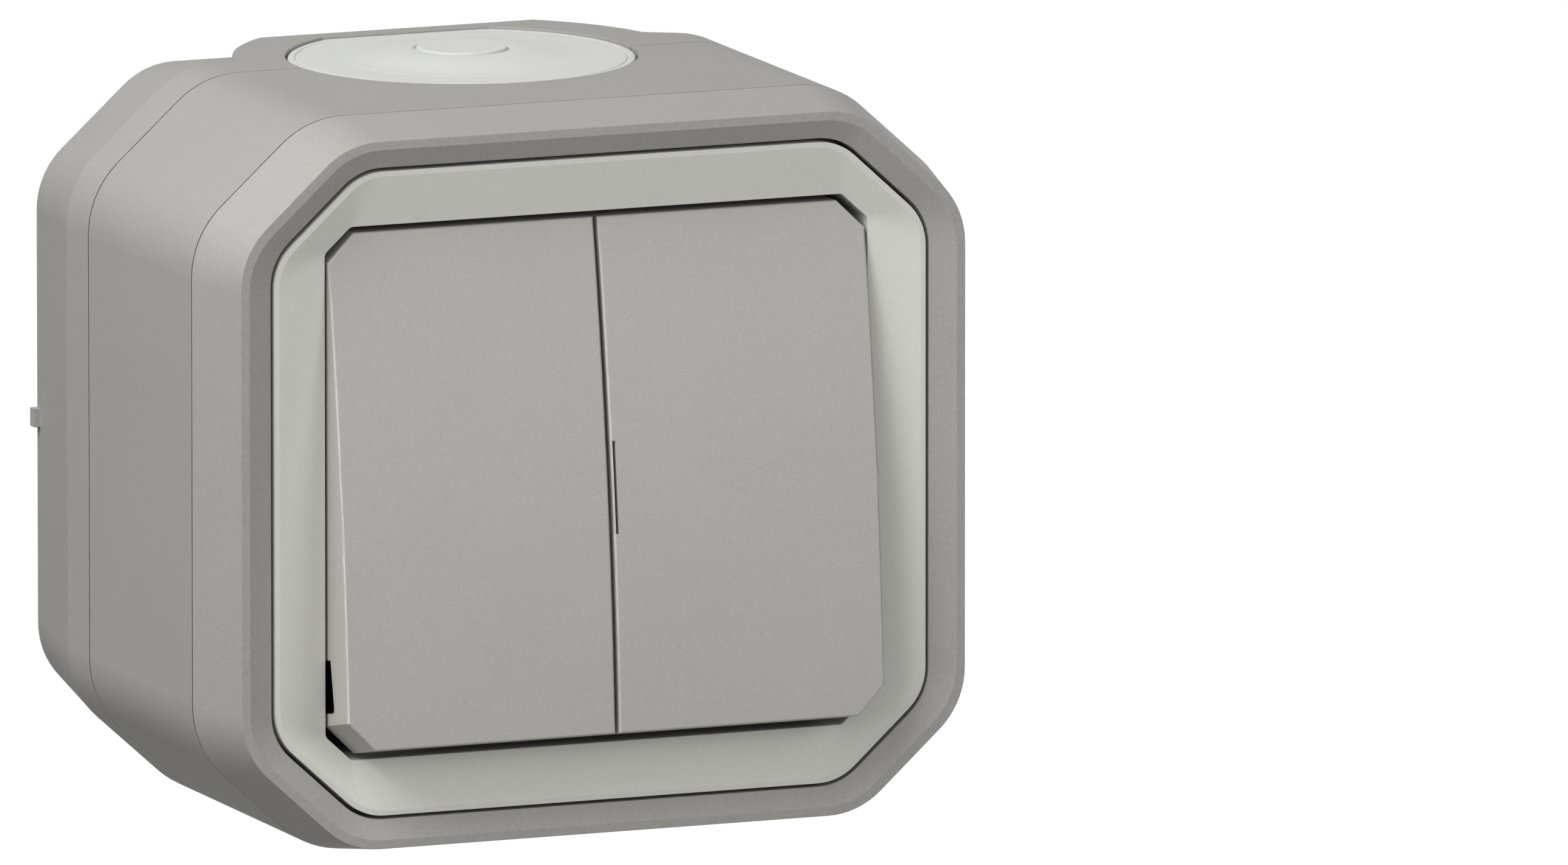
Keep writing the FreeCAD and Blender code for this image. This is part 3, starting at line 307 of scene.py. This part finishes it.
@dataclass(frozen=True)
class Track:
    """A run of points that profiles are swept along, in the plane of the wall.

    Attributes:
        centres: the point that each station turns about, x and z, shape (n, 2).
        normals: the outward unit vector at each station, shape (n, 2).
        radius: distance of the track itself from the centres.
        closed: whether the last station joins the first.
    """

    centres: np.ndarray
    normals: np.ndarray
    radius: float
    closed: bool = True

    def sweep(self, profile: np.ndarray) -> np.ndarray:
        """Carries a profile along the track.

        Args:
            profile: outward distance from the track and y, shape (m, 2).

        Returns:
            Points in the row's frame, shape (n, m, 3).
        """
        reach = self.radius + profile[None, :, 0]
        across = self.centres[:, None, 0] + self.normals[:, None, 0] * reach
        up = self.centres[:, None, 1] + self.normals[:, None, 1] * reach
        depth = np.broadcast_to(profile[None, :, 1], across.shape)
        return np.stack([across, depth, up], axis=-1)

    @classmethod
    def rounded(cls, corners: np.ndarray, radius: float, steps: int = 12) -> Track:
        """A convex outline with rounded corners.

        Args:
            corners: sharp corners anticlockwise, x and z, shape (k, 2).
            radius: radius of every corner.
            steps: stations on each corner's arc.

        Returns:
            The track along that outline.
        """
        edges = np.roll(corners, -1, axis=0) - corners
        edges /= np.linalg.norm(edges, axis=1, keepdims=True)
        out = np.stack([edges[:, 1], -edges[:, 0]], axis=1)
        before = np.roll(out, 1, axis=0)
        middle = before + out
        middle /= np.linalg.norm(middle, axis=1, keepdims=True)
        centres = corners - middle * (radius / (middle * out).sum(axis=1))[:, None]
        start = np.arctan2(before[:, 1], before[:, 0])
        turn = np.mod(np.arctan2(out[:, 1], out[:, 0]) - start, 2 * math.pi)
        angles = start[:, None] + turn[:, None] * np.linspace(0, 1, steps)[None, :]
        normals = np.stack([np.cos(angles), np.sin(angles)], axis=-1).reshape(-1, 2)
        return cls(np.repeat(centres, steps, axis=0), normals, radius)

    @classmethod
    def circle(cls, centre: tuple[float, float], radius: float, steps: int = 64) -> Track:
        """A full circle.

        Args:
            centre: x and z of its middle.
            radius: its radius.
            steps: stations round it.

        Returns:
            The track along that circle.
        """
        angles = np.linspace(0, 2 * math.pi, steps, endpoint=False)
        normals = np.stack([np.cos(angles), np.sin(angles)], axis=1)
        return cls(np.tile(np.array(centre), (steps, 1)), normals, radius)

    def cut(self, half_width: float, height: float) -> Track:
        """Opens the track across its top.

        Args:
            half_width: the gap runs from x = -half_width to half_width.
            height: z of the outline at the gap.

        Returns:
            An open track from one end of the gap round to the other.
        """
        angle = np.arctan2(self.normals[:, 1], self.normals[:, 0]) - math.pi / 2
        just_off = 1e-6 * np.sign(self.centres[:, 0])
        sequence = np.argsort(np.mod(angle - just_off, 2 * math.pi))
        ends = np.array([[-half_width, height], [half_width, height]])
        upward = np.array([[0.0, 1.0]])
        centres = np.concatenate([ends[:1], self.centres[sequence], ends[1:]])
        centres[[0, -1], 1] -= self.radius
        normals = np.concatenate([upward, self.normals[sequence], upward])
        return Track(centres, normals, self.radius, closed=False)


def octagon(half_width: float, half_height: float, cut_across: float,
            cut_up: float) -> np.ndarray:
    """The sharp corners of a rectangle whose own corners are cut off.

    Args:
        half_width: from the middle to the left or right side.
        half_height: from the middle to the top or bottom.
        cut_across: width of each cut.
        cut_up: height of each cut.

    Returns:
        Eight corners, x and z, anticlockwise, shape (8, 2).
    """
    right, top = half_width, half_height
    return np.array([
        (right, -top + cut_up), (right, top - cut_up), (right - cut_across, top),
        (-right + cut_across, top), (-right, top - cut_up), (-right, -top + cut_up),
        (-right + cut_across, -top), (right - cut_across, -top)])


def skin(name: str, rings: list[np.ndarray], closed: bool) -> bpy.types.Object:
    """Makes one mesh of one or more swept rings whose profiles are closed loops.

    Args:
        name: name of the piece.
        rings: point grids in millimetres, each of shape (stations, profile, 3).
        closed: whether the last station joins the first; if not, both ends are capped.

    Returns:
        The piece, smooth but for edges over forty degrees.
    """
    points, faces, first = [], [], 0
    for ring in rings:
        stations, around = ring.shape[:2]
        index = first + np.arange(stations * around).reshape(stations, around)
        after = np.roll(index, -1, axis=0) if closed else index[1:]
        here = index if closed else index[:-1]
        quads = np.stack([here, after, np.roll(after, -1, axis=1), np.roll(here, -1, axis=1)],
                         axis=-1).reshape(-1, 4)
        faces += quads.tolist()
        if not closed:
            faces += [index[0].tolist(), index[-1, ::-1].tolist()]
        points.append(ring.reshape(-1, 3))
        first += stations * around
    mesh = bpy.data.meshes.new(name)
    mesh.from_pydata((np.concatenate(points) * MM).tolist(), [], faces)
    work = bmesh.new()
    work.from_mesh(mesh)
    bmesh.ops.remove_doubles(work, verts=work.verts, dist=WELD_M)
    bmesh.ops.recalc_face_normals(work, faces=work.faces)
    work.to_mesh(mesh)
    work.free()
    mesh.polygons.foreach_set("use_smooth", np.ones(len(mesh.polygons), dtype=bool))
    mesh.set_sharp_from_angle(angle=math.radians(CREASE_DEG))
    piece = bpy.data.objects.new(name, mesh)
    bpy.context.scene.collection.objects.link(piece)
    return piece


def bead(inner: float, outer: float, back: float, front: float,
         steps: int = 20, fullness: float = 3.0) -> np.ndarray:
    """A soft rectangular section with bulging sides, as outward distance and y.

    Args:
        inner: least outward distance.
        outer: greatest outward distance.
        back: y of the face nearer the wall.
        front: y of the face further from the wall.
        steps: points round the section.
        fullness: two gives an ellipse; larger numbers give squarer sections.

    Returns:
        The section's points, shape (steps, 2).
    """
    turn = np.linspace(0, 2 * math.pi, steps, endpoint=False)
    wide = np.sign(np.cos(turn)) * np.abs(np.cos(turn)) ** (2 / fullness)
    deep = np.sign(np.sin(turn)) * np.abs(np.sin(turn)) ** (2 / fullness)
    return np.stack([(inner + outer) / 2 + wide * (outer - inner) / 2,
                     (back + front) / 2 + deep * (back - front) / 2], axis=1)


@dataclass(frozen=True)
class CableMembrane:
    """Pale closing membrane: a D-shaped disc with a fine ring, a low dome and a nipple.

    Attributes:
        axis: distance of its centre from the wall.
        top: height of the flat part of the disc.
        radius: outer radius, with the dark gap to the box round it.
        flat: distance from the centre to the straight edge.
        round_core: radius up to which every ring stays a full circle.
        steps: stations round the disc.
    """

    axis: float = 17.1
    top: float = 35.71
    radius: float = 16.93
    flat: float = 14.62
    round_core: float = 14.4
    steps: int = 288

    def section(self) -> np.ndarray:
        """Half section from the middle of the top to the middle of the underside.

        Returns:
            Radius and height above the disc's flat part, shape (m, 2).
        """
        slope = np.linspace(4.75, 11.1, 14)
        rise = 0.88 * (0.5 + 0.5 * np.cos(math.pi * (slope - 4.75) / 6.6)) ** 0.85
        front = [(0, 1.0), (1.2, 1.0), (2.6, 1.01), (3.5, 1.05), (3.95, 1.08), (4.2, 1.08),
                 (4.34, 1.04), (4.4, 0.94), (4.44, 0.72), (4.52, 0.66), (4.62, 0.72)]
        dome = list(zip(slope.tolist(), rise.tolist()))
        edge = [(11.35, 0.035), (11.5, 0.0), (11.65, -0.03), (12.4, -0.035), (14.4, -0.02),
                (15.9, -0.01), (16.06, -0.02), (16.12, -0.1), (16.2, -0.1), (16.26, -0.02),
                (16.4, 0.0), (16.75, 0.0), (16.86, -0.05), (self.radius, -0.16),
                (self.radius, -2.7), (16.8, -2.85), (14.4, -2.85), (14.3, -2.75),
                (14.3, -1.55), (14.2, -1.45), (11.0, -1.42)]
        under = [(4.6, -0.75), (4.42, -0.9), (4.38, -4.2), (4.3, -4.3), (3.6, -4.3),
                 (3.5, -4.2), (3.5, 0.1), (3.4, 0.2), (0, 0.2)]
        return np.array(front + dome + edge + under)

    def build(self, material: bpy.types.Material) -> bpy.types.Object:
        """Turns the section round the cable entry's axis.

        Args:
            material: the finish of the elastomer.

        Returns:
            The membrane piece, fixed in the housing.
        """
        section = self.section()
        turn = np.linspace(0, 2 * math.pi, self.steps, endpoint=False)
        wall_side = np.maximum(np.sin(turn), 1e-3)
        limit = np.minimum(self.radius, self.flat / wall_side)
        share = np.clip((section[:, 0] - self.round_core) / (self.radius - self.round_core),
                        0, None)
        reach = np.where(share[None, :] > 0,
                         self.round_core + share[None, :] * (limit[:, None] - self.round_core),
                         section[None, :, 0])
        grid = np.stack([reach * np.cos(turn)[:, None],
                         reach * np.sin(turn)[:, None] - self.axis,
                         np.broadcast_to(section[None, :, 1] + self.top, reach.shape)], axis=-1)
        piece = skin("membrane_disc", [grid], closed=True)
        return fit(piece, material, "cable_membrane")


@dataclass(frozen=True)
class Gaskets:
    """The flat rings between the box's three mouldings, and the wall screws' washers.

    Attributes:
        half_width: half the width of the box.
        half_height: half its height.
        cut_across: width of its cut corners.
        cut_up: height of its cut corners.
        corner: radius that rounds the ends of each cut.
        outer_inset: how far a ring stays inside the box's outline; so small that the black rubber
            shows as a dark line along each seam, partly the real gasket and partly painted shade
            that stands in for a thin gap's shade.
        inner_inset: how far its inner side lies from that outline.
        fullness: squareness of a ring's section.
        rear_seam: y of the rear ring's two faces.
        front_seam: y of the front ring's two faces.
        entry_half: half width of the rear ring's gap at the cable entry.
        screw_across: distance of the wall screws from the middle, sideways.
        screw_up: distance of the wall screws from the middle, up or down.
        screw_hole: radius of a wall screw hole.
    """

    half_width: float = 39.46
    half_height: float = 35.86
    cut_across: float = 12.02
    cut_up: float = 10.85
    corner: float = 9.35
    # Painted shade: the black rings reach almost to the outline, so each seam shows a dark line
    # where a thinner real gap would only be in shade.
    outer_inset: float = 0.02
    inner_inset: float = 2.2
    fullness: float = 8.0
    rear_seam: tuple[float, float] = (-18.27, -18.49)
    front_seam: tuple[float, float] = (-45.67, -45.89)
    entry_half: float = 17.3
    screw_across: float = 26.0
    screw_up: float = 23.0
    screw_hole: float = 3.0

    def outline(self) -> Track:
        """The box's outer outline."""
        corners = octagon(self.half_width, self.half_height, self.cut_across, self.cut_up)
        return Track.rounded(corners, self.corner)

    def build(self, material: bpy.types.Material) -> None:
        """Makes the rear ring, open at the cable entry, the front ring and the washers.

        Args:
            material: the finish of the gaskets.
        """
        # Both rings carry the painted shade of the seams: their black outer side sits just inside
        # the outline.
        rear = bead(-self.inner_inset, -self.outer_inset, *self.rear_seam,
                    fullness=self.fullness)
        around = self.outline().cut(self.entry_half, self.half_height)
        fit(skin("rear_seam_ring", [around.sweep(rear)], closed=False),
            material, "box_gasket")
        front = bead(-self.inner_inset, -self.outer_inset, *self.front_seam,
                     fullness=self.fullness)
        fit(skin("front_seam_ring", [self.outline().sweep(front)], closed=True),
            material, "bezel_gasket")
        section = bead(0.02, 1.58, -2.62, -3.98, fullness=4.0)
        places = [(across, up) for across in (-self.screw_across, self.screw_across)
                  for up in (-self.screw_up, self.screw_up)]
        washers = [Track.circle(place, self.screw_hole).sweep(section) for place in places]
        fit(skin("screw_washers", washers, closed=True), material,
            "wall_grommets")


@dataclass(frozen=True)
class RockerSeal:
    """Thin sheet behind the rockers: one fold and one raised lip round each passage.

    Attributes:
        middle: distance of each half's inner edge from the middle of the switch.
        outer: distance of its outer edge.
        height: half its height.
        corner: radius of the sheet's corners.
        passage_near: distance of the passage's near side from the middle.
        passage_far: distance of its far side.
        passage_half: half the passage's height.
        back: y of the face nearer the wall.
        face: y of the front face.
        fold: height of the soft waves between edge and passage.
        lip: y of the lip's crest.
    """

    middle: float = 0.02
    outer: float = 29.35
    height: float = 27.2
    corner: float = 2.4
    passage_near: float = 2.2
    passage_far: float = 24.3
    passage_half: float = 5.0
    back: float = -43.65
    face: float = -44.55
    fold: float = 0.3
    lip: float = -45.45

    def loops(self) -> list[tuple[float, float, float, float, float]]:
        """The sheet's section as nested rectangles.

        Returns:
            Near side, far side, half height, corner radius and y of each loop, from the
            outer edge over the front to the passage and back behind the sheet.
        """
        near, far, half = self.passage_near, self.passage_far, self.passage_half
        made = [(self.middle, self.outer, self.height, self.corner, self.face)]
        for share in np.linspace(0.08, 0.92, 15):
            swell = self.fold * math.sin(math.pi * share) ** 2 * math.cos(4 * math.pi * share)
            made.append((self.middle + share * (near - 0.7),
                         self.outer + share * (far + 0.7 - self.outer),
                         self.height + share * (half + 0.7 - self.height), self.corner - share,
                         self.face + swell * 0.5))
        made += [(near - 0.5, far + 0.5, half + 0.5, 1.2, self.face - 0.2),
                 (near - 0.45, far + 0.45, half + 0.45, 1.1, self.lip + 0.15),
                 (near - 0.3, far + 0.3, half + 0.3, 1.0, self.lip),
                 (near - 0.12, far + 0.12, half + 0.12, 0.9, self.lip + 0.05),
                 (near, far, half, 0.8, self.lip + 0.25), (near, far, half, 0.8, self.back),
                 (self.middle, self.outer, self.height, self.corner, self.back)]
        return made

    def build(self, material: bpy.types.Material) -> None:
        """Makes the sheet's left and right halves, which meet behind the rockers' gap.

        Args:
            material: the finish of the sheet.
        """
        for one in Half:
            side, word = one.value, one.name.lower()
            columns = []
            for near, far, half, corner, depth in self.loops():
                low, high = sorted((side * near, side * far))
                corners = np.array([(high, -half), (high, half), (low, half), (low, -half)])
                track = Track.rounded(corners, corner, steps=8)
                columns.append(track.sweep(np.array([(0.0, depth)]))[:, 0])
            piece = skin(f"seal_sheet_{word}", [np.stack(columns, axis=1)], closed=True)
            fit(piece, material, "rocker_seal")


@dataclass(frozen=True)
class PlungerSpring:
    """Steel coil between a rocker's tower and its plunger.

    Attributes:
        pivot: distance of the rocker's axis from the wall.
        tilt: degrees that the rocker leans at rest.
        across: distance of the coil from the middle of the switch.
        near: distance from the pivot to the coil's first turn.
        length: height of the coil, from wire middle to wire middle.
        radius: from the coil's axis to the middle of the wire.
        wire: radius of the wire.
        turns: number of turns.
    """

    pivot: float = 49.7
    tilt: float = 6.5
    across: float = 13.2
    near: float = 3.04
    length: float = 3.12
    radius: float = 1.1
    wire: float = 0.22
    turns: int = 5

    def stand(self, points: np.ndarray) -> np.ndarray:
        """Leans points with the rocker and puts them in place.

        Args:
            points: x from the middle of the switch, then y and z from the pivot.

        Returns:
            The points in the row's frame, of the same shape.
        """
        lean = math.radians(self.tilt)
        across, depth, up = np.moveaxis(points, -1, 0)
        return np.stack([across, depth * math.cos(lean) + up * math.sin(lean) - self.pivot,
                         up * math.cos(lean) - depth * math.sin(lean)], axis=-1)

    def build(self, material: bpy.types.Material) -> None:
        """Winds both coils: a circle carried along a helix about the plunger's axis.

        Args:
            material: the finish of the wire.
        """
        turn = np.linspace(0, 2 * math.pi * self.turns, 24 * self.turns + 1)[:, None]
        round_wire = np.linspace(0, 2 * math.pi, 10, endpoint=False)[None, :]
        reach = self.radius + self.wire * np.cos(round_wire)
        rise = self.near + self.length * turn / turn.max() + self.wire * np.sin(round_wire)
        for one in Half:
            side, word = one.value, one.name.lower()
            middle = side * self.across
            coil = np.stack([middle + reach * np.sin(turn), rise, reach * np.cos(turn)], axis=-1)
            piece = skin(f"coil_{word}", [self.stand(coil)], closed=False)
            piece.data.materials.append(material)
            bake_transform(piece)
            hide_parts(f"plunger_spring_{word}")
            LOG.info("made %s in place of plunger_spring_%s", piece.name, word)


def fit(piece: bpy.types.Object, material: bpy.types.Material,
        node: str) -> bpy.types.Object:
    """Fixes a soft piece in the housing in place of its CAD solid.

    Args:
        piece: the piece, in its place.
        material: its finish.
        node: the CAD node that it stands for.

    Returns:
        The same piece.
    """
    piece.data.materials.append(material)
    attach(piece, "housing")
    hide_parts(node)
    LOG.info("made %s in place of %s", piece.name, node)
    return piece


# ------------------------------------------------------------------ camera, light, floor

def outward(azimuth: float, elevation: float) -> Vector:
    """The unit vector from the switch towards a camera or a light.

    Args:
        azimuth: degrees; negative is from the switch's left.
        elevation: degrees above the horizon.

    Returns:
        The vector.
    """
    turn, rise = math.radians(azimuth), math.radians(elevation)
    return Vector((math.sin(turn) * math.cos(rise), -math.cos(turn) * math.cos(rise),
                   math.sin(rise)))


@dataclass(frozen=True)
class ProductCamera:
    """A long lens from the left and a little above, as for a catalogue picture.

    Attributes:
        azimuth: degrees; negative is from the switch's left.
        elevation: degrees above the horizon.
        lens_mm: focal length.
        sensor_mm: width of the sensor.
        distance_mm: from the aimed point to the camera.
        aim_mm: point of the switch that the framing is worked out for.
        offset_mm: how far the middle of the picture lies right of and above that point.
    """

    azimuth: float = -22.2
    elevation: float = 9.95
    lens_mm: float = 900.0
    sensor_mm: float = 36.0
    distance_mm: float = 3781.56
    aim_mm: tuple[float, float, float] = (0.0, -53.2, 0.0)
    offset_mm: tuple[float, float] = (17.67, 4.43)

    def build(self) -> bpy.types.Object:
        """Makes the camera and the scene's active camera of it.

        Returns:
            The camera object.
        """
        back = outward(self.azimuth, self.elevation)
        facing = (-back).to_track_quat("-Z", "Y")
        right = facing @ Vector((1, 0, 0))
        up = facing @ Vector((0, 1, 0))
        spot = Vector(self.aim_mm) + back * self.distance_mm
        spot += right * self.offset_mm[0] + up * self.offset_mm[1]
        data = bpy.data.cameras.new("product_camera")
        data.lens = self.lens_mm
        data.sensor_width = self.sensor_mm
        data.clip_start = 0.1
        data.clip_end = 50.0
        camera = bpy.data.objects.new("product_camera", data)
        bpy.context.scene.collection.objects.link(camera)
        camera.rotation_mode = "QUATERNION"
        camera.rotation_quaternion = facing
        camera.location = spot * MM
        bpy.context.scene.camera = camera
        LOG.info("placed %s", camera.name)
        return camera


@dataclass(frozen=True)
class SoftBox:
    """One square studio light that faces the switch.

    Attributes:
        name: where it stands.
        azimuth: degrees round the switch, as for the camera.
        elevation: degrees above the horizon.
        power: watts.
        size_m: side of the square.
        distance_m: from the switch.
    """

    name: str
    azimuth: float
    elevation: float
    power: float
    size_m: float = 0.5
    distance_m: float = 0.8

    def build(self, centre: Vector) -> None:
        """Hangs the light round a centre and turns it to face it.

        Args:
            centre: the middle of the switch, in metres.
        """
        back = outward(self.azimuth, self.elevation)
        data = bpy.data.lights.new(self.name, "AREA")
        data.shape = "SQUARE"
        data.size = self.size_m
        data.energy = self.power
        lamp = bpy.data.objects.new(self.name, data)
        bpy.context.scene.collection.objects.link(lamp)
        lamp.location = centre + back * self.distance_m
        lamp.rotation_mode = "QUATERNION"
        lamp.rotation_quaternion = (-back).to_track_quat("-Z", "Y")
        LOG.info("hung %s", lamp.name)


@dataclass
class Studio:
    """White studio: soft boxes, a white surround and a pale floor well below the switch.

    Attributes:
        boxes: the lights.
        surround: strength of the light that the white surround gives.
        floor_m: height of the floor.
        floor_side_m: side of the square floor.
    """

    boxes: tuple[SoftBox, ...] = (
        SoftBox("high_left_box", -70, 50, 7.1),
        SoftBox("overhead_box", 0, 85, 1.15),
        SoftBox("front_left_box", -50, 20, 1.7),
        SoftBox("front_box", -10, 10, 1.2),
        SoftBox("front_right_box", 40, 15, 1.75),
        SoftBox("back_left_box", -130, 40, 0.6),
        SoftBox("right_back_box", 112, 4, 2.5),
        SoftBox("back_box", 160, -8, 0.7),
        SoftBox("under_box", 95, -32, 0.8),
    )
    surround: float = 0.03
    floor_m: float = -0.5
    floor_side_m: float = 8.0

    def build(self) -> None:
        """Builds the world, the lights and the floor."""
        scene = bpy.context.scene
        scene.view_settings.view_transform = "Standard"
        world = bpy.data.worlds.new("white_surround")
        scene.world = world
        world.use_nodes = True
        tree = world.node_tree
        tree.nodes.clear()
        seen = add_node(tree, "ShaderNodeBackground", {"Color": linear("#ffffff"),
                                                       "Strength": 1.0})
        lit = add_node(tree, "ShaderNodeBackground", {"Color": linear("#ffffff"),
                                                      "Strength": self.surround})
        ray = add_node(tree, "ShaderNodeLightPath")
        both = add_node(tree, "ShaderNodeMixShader", {
            0: ray.outputs["Is Camera Ray"], 1: lit.outputs[0], 2: seen.outputs[0]})
        add_node(tree, "ShaderNodeOutputWorld", {"Surface": both.outputs[0]})
        low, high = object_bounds()
        centre = (low + high) / 2
        for box in self.boxes:
            box.build(centre)
        self.floor()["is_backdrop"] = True

    def floor(self) -> bpy.types.Object:
        """Makes the floor.

        Returns:
            A plain square, pale and evenly lit from above and clear from below.
        """
        half = self.floor_side_m / 2
        mesh = bpy.data.meshes.new("pale_floor")
        corners = [(-half, -half, self.floor_m), (half, -half, self.floor_m),
                   (half, half, self.floor_m), (-half, half, self.floor_m)]
        mesh.from_pydata(corners, [], [(0, 1, 2, 3)])
        floor = bpy.data.objects.new("pale_floor", mesh)
        bpy.context.scene.collection.objects.link(floor)
        made = bpy.data.materials.new("painted_pale_floor")
        made.use_nodes = True
        tree = made.node_tree
        tree.nodes.clear()
        paint = add_node(tree, "ShaderNodeBsdfDiffuse", {"Color": linear("#bdbdbd")})
        glow = add_node(tree, "ShaderNodeEmission", {"Color": linear("#ffffff"),
                                                     "Strength": 1.0})
        ray = add_node(tree, "ShaderNodeLightPath")
        above = add_node(tree, "ShaderNodeMixShader", {
            0: ray.outputs["Is Camera Ray"], 1: paint.outputs[0], 2: glow.outputs[0]})
        clear = add_node(tree, "ShaderNodeBsdfTransparent")
        side = add_node(tree, "ShaderNodeNewGeometry")
        both = add_node(tree, "ShaderNodeMixShader", {
            0: side.outputs["Backfacing"], 1: above.outputs[0], 2: clear.outputs[0]})
        add_node(tree, "ShaderNodeOutputMaterial", {"Surface": both.outputs[0]})
        mesh.materials.append(made)
        return floor


def main() -> None:
    """Loads the frame, builds the camera, every piece and the studio."""
    logging.basicConfig(level=logging.INFO, format="%(name)s: %(message)s")
    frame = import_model()
    ProductCamera().build()
    carried = CarriedNodes(frame)
    carried.dress()
    CableMembrane().build(carried.made["membrane_rubber"])
    Gaskets().build(carried.made["seal_rubber"])
    RockerSeal().build(carried.made["seal_rubber"])
    PlungerSpring().build(carried.made["steel"])
    Studio().build()


if __name__ == "__main__":
    main()
